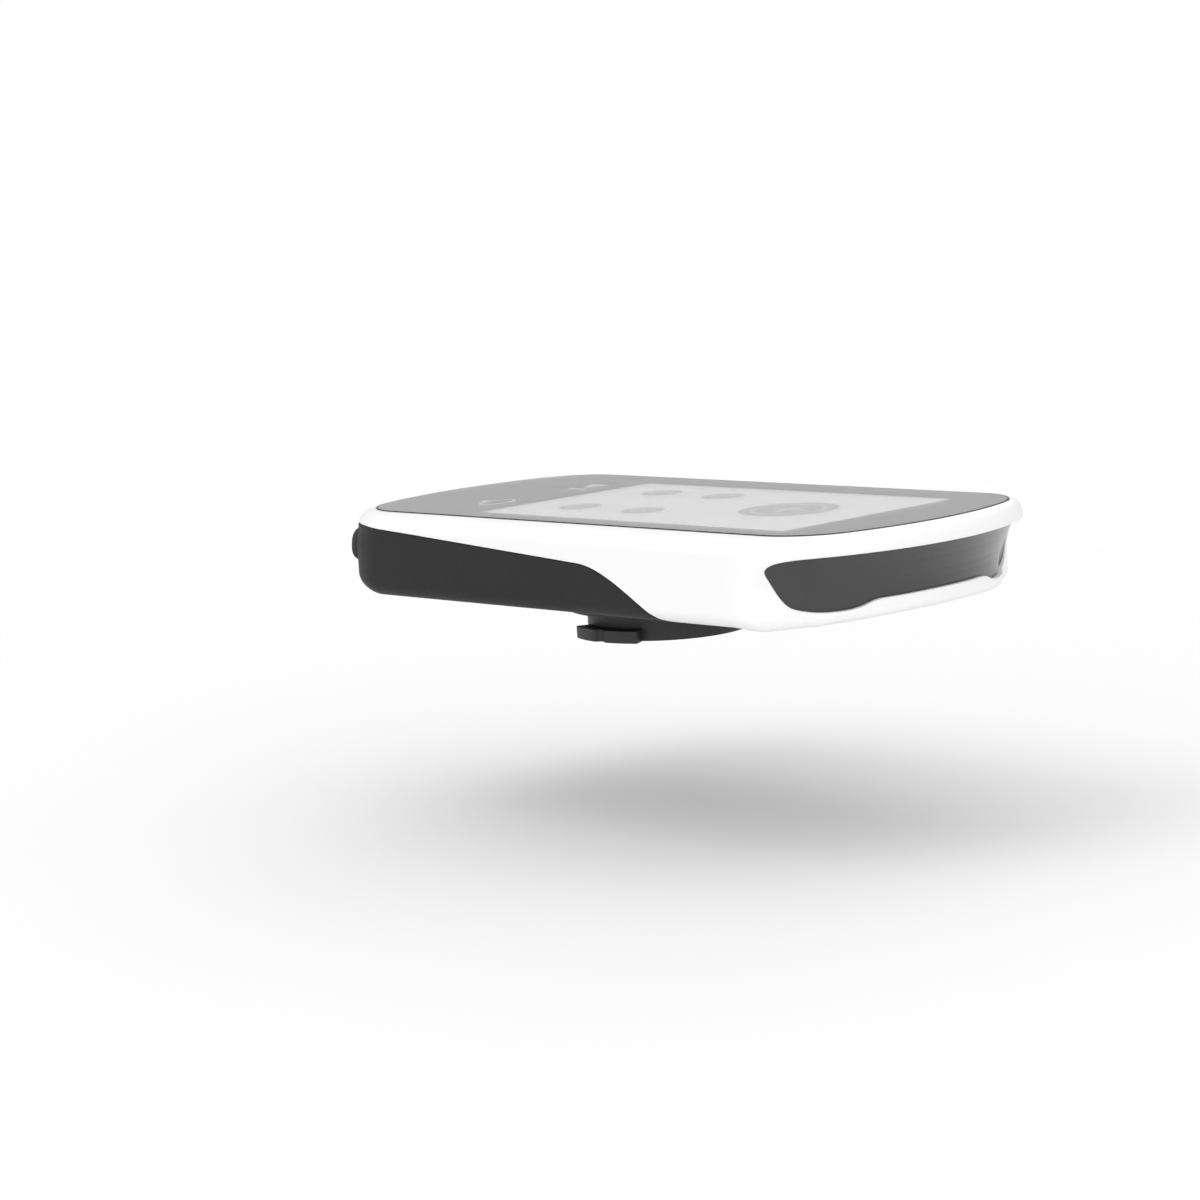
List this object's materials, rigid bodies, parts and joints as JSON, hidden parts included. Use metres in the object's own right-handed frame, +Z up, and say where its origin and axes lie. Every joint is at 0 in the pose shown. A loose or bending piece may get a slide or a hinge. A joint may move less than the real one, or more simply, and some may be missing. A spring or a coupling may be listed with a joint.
{
  "type": "cycling computer",
  "caption": "Slim handlebar cycling computer with a flat touch display, two-tone casing, wrap-round front panel, end and side buttons, port cap and a quarter-turn boss.",
  "frame": {"origin": "centre of the quarter-turn boss's flat outer face, under the body", "axes": "+Z up out of the display, +Y the riding direction along the body, +X the rider's right"},
  "size_m": [0.0587, 0.1114, 0.02],
  "materials": {
    "white_shell": "satin white moulded shell",
    "black_shell": "fine-textured black moulding",
    "panel_gloss": "dark high-gloss moulding",
    "cover_glass": "chemically hardened clear glass",
    "adhesive": "black foam tape",
    "sensor_film": "clear film",
    "lcd": "light grey lit display cell",
    "guide": "clear light guide",
    "led": "light strip",
    "tray_metal": "pressed sheet",
    "flex_film": "amber polyimide",
    "board": "green solder mask",
    "can_metal": "tinned steel",
    "chip": "black moulded package",
    "ceramic": "fired ceramic",
    "cell_foil": "soft pouch foil",
    "foam": "soft foam pad",
    "wire": "insulated lead",
    "black_part": "black moulding",
    "sensor_metal": "small metal can",
    "membrane": "white breathable film",
    "socket_metal": "plated socket shell",
    "cap_rubber": "soft black elastomer",
    "seal_rubber": "silicone cord",
    "screw_steel": "plated small screw",
    "boss_plastic": "glass-filled black moulding",
    "key_rubber": "moulded rubber key",
    "dome": "plated snap dome"
  },
  "bodies": {
    "casing": {"front_bezel": "white_shell", "rear_housing": "black_shell", "front_panel": "panel_gloss", "touch_glass": "cover_glass", "glass_adhesive": "adhesive", "touch_sensor": "sensor_film", "display_cell": "lcd", "light_guide": "guide", "light_strip": "led", "display_tray": "tray_metal", "display_flex": "flex_film", "main_board": "board", "shield_cans": "can_metal", "board_chips": "chip", "patch_antenna": "ceramic", "radio_antenna": "flex_film", "battery_cell": "cell_foil", "battery_pad": "foam", "battery_lead": "wire", "beeper": "black_part", "pressure_sensor": "sensor_metal", "vent_membrane": "membrane", "light_sensor": "black_part", "usb_receptacle": "socket_metal", "card_socket": "socket_metal", "port_board": "board", "cap_anchor": "cap_rubber", "casing_seal": "seal_rubber", "casing_screws": "screw_steel", "quarter_turn_boss": "boss_plastic", "boss_screws": "screw_steel", "button_seals": "seal_rubber", "dome_switches": "dome", "switch_boards": "board"},
    "cap": {"weather_cap": "cap_rubber"},
    "power_key": {"power_button": "key_rubber"},
    "lap_key": {"lap_button": "key_rubber"},
    "start_stop_key": {"start_stop_button": "key_rubber"}
  },
  "joints": [
    {"name": "weather_cap_hinge", "type": "hinge", "parent": "casing", "child": "cap", "pos_m": [0, -0.0331, 0.0062], "axis": [1, 0, 0], "range_deg": [0, 80]},
    {"name": "power_press", "type": "slide", "parent": "casing", "child": "power_key", "axis": [1, 0, 0], "range_m": [0, 0.0005], "stiffness_N_per_m": 900, "springref_m": -0.0003},
    {"name": "lap_press", "type": "slide", "parent": "casing", "child": "lap_key", "axis": [0.3827, 0.9239, 0], "range_m": [0, 0.0005], "stiffness_N_per_m": 900, "springref_m": -0.0003},
    {"name": "start_stop_press", "type": "slide", "parent": "casing", "child": "start_stop_key", "axis": [-0.3827, 0.9239, 0], "range_m": [0, 0.0005], "stiffness_N_per_m": 900, "springref_m": -0.0003}
  ]
}
